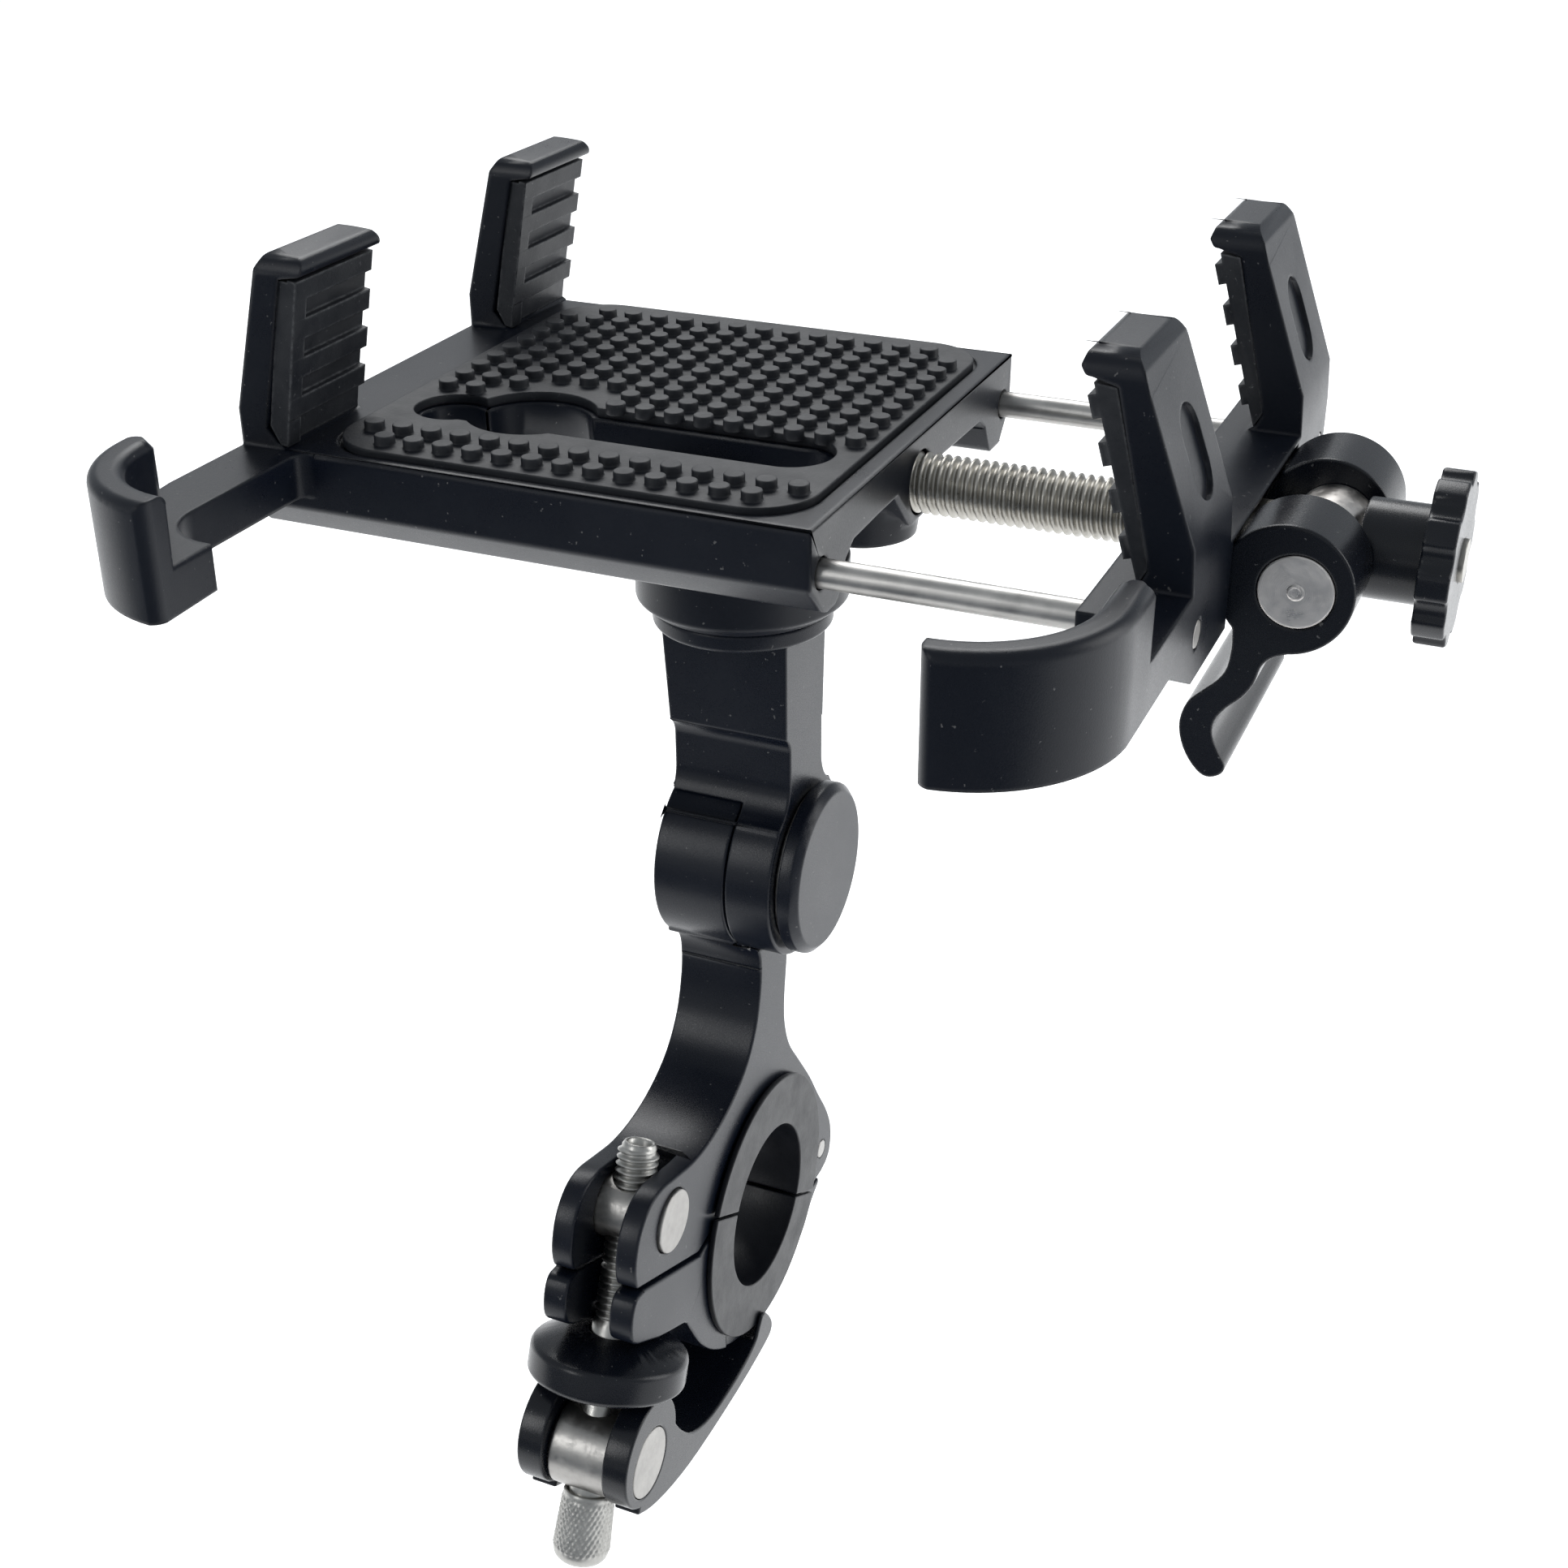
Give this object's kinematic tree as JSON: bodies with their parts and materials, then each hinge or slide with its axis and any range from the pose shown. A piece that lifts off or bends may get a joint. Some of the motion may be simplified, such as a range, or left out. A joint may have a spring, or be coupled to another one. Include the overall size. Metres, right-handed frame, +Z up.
{
  "type": "phone handlebar mount",
  "caption": "Phone cradle with sliding corner-grip jaws and a quick-release lever, on a swivel and tilt arm over a hinged quick-release handlebar clamp.",
  "frame": {"origin": "centre of the handlebar hole, midway between the two insert flanges", "axes": "+X along the handlebar hole, the guide rods and the jaw travel, towards the knob; +Y towards the back of the cradle; +Z up, from the clamp to the cradle"},
  "size_m": [0.145, 0.1138, 0.1802],
  "materials": {
    "cradle_body": "satin black anodised",
    "arm_body": "satin black anodised",
    "lever_body": "semi-gloss black anodised",
    "knob_metal": "satin black anodised",
    "grip_rubber": "matte black rubber",
    "jaw_rubber": "matte black rubber",
    "insert_plastic": "matte black nylon",
    "stainless": "machined stainless steel"
  },
  "bodies": {
    "clamp": {"lower_arm": "arm_body", "bar_insert_upper": "insert_plastic", "clamp_hinge_pin": "stainless", "hinge_bolt": "stainless", "hinge_washer": "stainless", "hinge_cap": "arm_body"},
    "clamp_half": {"clamp_lower": "arm_body", "bar_insert_lower": "insert_plastic"},
    "swing_pin": {"clamp_trunnion": "stainless"},
    "cam_pin": {"lever_trunnion": "stainless"},
    "stud": {"clamp_stud": "stainless", "knurled_nut": "stainless"},
    "cam_lever": {"clamp_lever": "lever_body"},
    "dish": {"pressure_dish": "lever_body"},
    "arm": {"upper_arm": "arm_body", "swivel_ring": "arm_body", "swivel_bolt": "stainless"},
    "cradle": {"base_plate": "cradle_body", "grip_pad": "grip_rubber", "jaw_pad_left_near": "jaw_rubber", "jaw_pad_left_far": "jaw_rubber", "swivel_collar": "cradle_body", "screw_nut": "stainless"},
    "drive_pin": {"phone_trunnion": "stainless"},
    "drive_screw": {"lead_screw": "stainless", "knob": "knob_metal"},
    "quick_lever": {"phone_lever": "lever_body"},
    "jaw_carriage": {"carriage": "cradle_body", "jaw_pad_right_near": "jaw_rubber", "jaw_pad_right_far": "jaw_rubber", "guide_rod_near": "stainless", "guide_rod_far": "stainless", "wear_plate": "stainless"}
  },
  "joints": [
    {"name": "arm_tilt", "type": "hinge", "parent": "clamp", "child": "arm", "pos_m": [0, 0.0063, 0.0582], "axis": [1, 0, 0], "range_deg": [-60, 60]},
    {"name": "head_swivel", "type": "hinge", "parent": "arm", "child": "cradle", "pos_m": [0.002, 0.0063, 0.098], "axis": [0, 0, 1], "continuous": true},
    {"name": "jaw_adjust", "type": "slide", "parent": "cradle", "child": "drive_pin", "axis": [1, 0, 0], "range_m": [-0.03, 0.004]},
    {"name": "knob_spin", "type": "hinge", "parent": "drive_pin", "child": "drive_screw", "pos_m": [0.09, 0.0063, 0.1184], "axis": [1, 0, 0], "range_deg": [-8700, 1200]},
    {"name": "lever_open", "type": "hinge", "parent": "drive_pin", "child": "quick_lever", "pos_m": [0.0786, 0.0063, 0.1184], "axis": [0, -1, 0], "range_deg": [0, 60]},
    {"name": "carriage_slide", "type": "slide", "parent": "drive_pin", "child": "jaw_carriage", "axis": [1, 0, 0], "range_m": [0, 0.000628]},
    {"name": "stud_swing", "type": "hinge", "parent": "clamp", "child": "swing_pin", "pos_m": [0, -0.03, 0.0192], "axis": [-1, 0, 0], "range_deg": [0, 14]},
    {"name": "stud_travel", "type": "slide", "parent": "swing_pin", "child": "cam_pin", "axis": [0, -0.3827, -0.9239], "range_m": [0, 0.005]},
    {"name": "stud_spin", "type": "hinge", "parent": "cam_pin", "child": "stud", "pos_m": [0, -0.04347, -0.01332], "axis": [0, 0.3827, 0.9239], "range_deg": [0, 1850]},
    {"name": "clamp_cam", "type": "hinge", "parent": "cam_pin", "child": "cam_lever", "pos_m": [0, -0.04347, -0.01332], "axis": [-1, 0, 0], "range_deg": [0, 45]},
    {"name": "dish_slide", "type": "slide", "parent": "cam_pin", "child": "dish", "axis": [0, -0.3827, -0.9239], "range_m": [0, 0.00047]},
    {"name": "clamp_opening", "type": "hinge", "parent": "clamp", "child": "clamp_half", "pos_m": [0, 0.0245, -0.0071], "axis": [1, 0, 0], "range_deg": [0, 0.6]}
  ],
  "couplings": [
    {"joint": "knob_spin", "follows": "jaw_adjust", "rad_per_m": 5026.5},
    {"joint": "lever_open", "follows": "carriage_slide", "rad_per_m": 1666.7},
    {"joint": "stud_spin", "follows": "stud_travel", "rad_per_m": 6283.2},
    {"joint": "clamp_cam", "follows": "dish_slide", "rad_per_m": 1666.7},
    {"joint": "clamp_opening", "follows": "dish_slide", "rad_per_m": 15}
  ]
}
